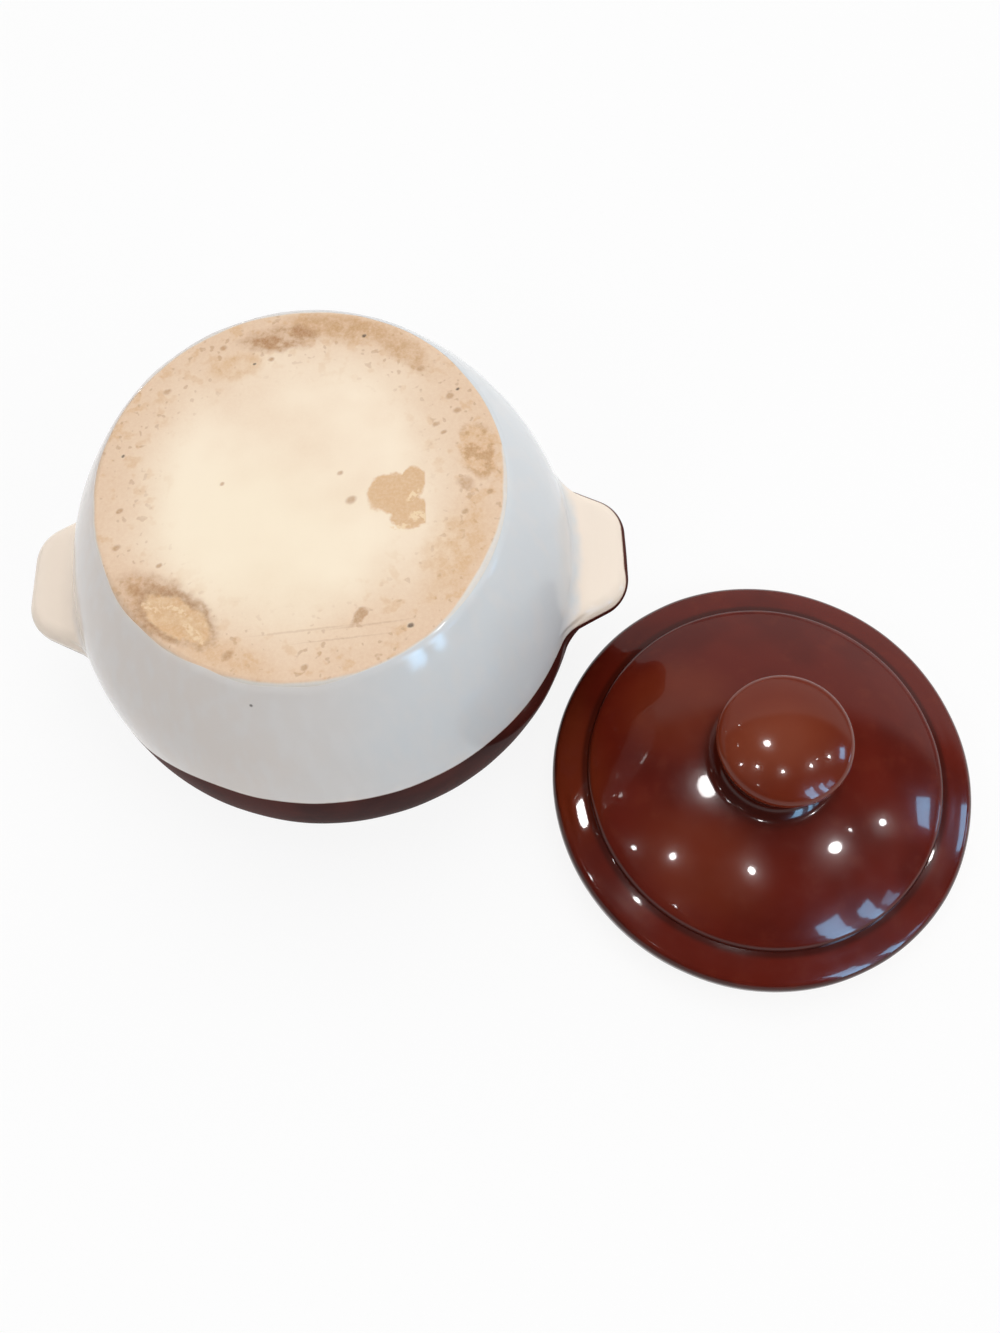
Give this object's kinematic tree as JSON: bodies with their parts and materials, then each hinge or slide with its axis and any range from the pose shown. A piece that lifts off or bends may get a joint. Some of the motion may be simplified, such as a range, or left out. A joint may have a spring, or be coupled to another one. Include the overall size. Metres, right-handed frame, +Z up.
{
  "type": "bean pot",
  "caption": "Round-bellied stoneware bean pot with tab handles and a knobbed lid, for slow baking, standing upside down on its rim with the lid beside it.",
  "frame": {"origin": "middle of the layout's footprint, on the table that the pot's rim and the lid's flange stand on", "axes": "+X along the line through the handles, towards the lid; +Y away from the lid; +Z up"},
  "size_m": [0.3296, 0.2334, 0.112],
  "materials": {
    "bare_stoneware": "bare fired clay, matt",
    "white_glaze": "smooth gloss glaze",
    "brown_glaze": "deep gloss glaze"
  },
  "bodies": {
    "pot": {"pot_body": "bare_stoneware", "left_handle": "bare_stoneware", "right_handle": "bare_stoneware", "white_glaze": "white_glaze", "brown_glaze": "brown_glaze", "pot_lining": "brown_glaze"},
    "lid": {"lid_body": "bare_stoneware", "knob": "bare_stoneware", "lid_glaze": "brown_glaze", "lid_lining": "brown_glaze"}
  },
  "joints": [
    {"name": "lid_lift", "type": "slide", "parent": "pot", "child": "lid", "axis": [0.1568, -0.0745, 0.9848], "range_m": [0, 0.13]}
  ]
}
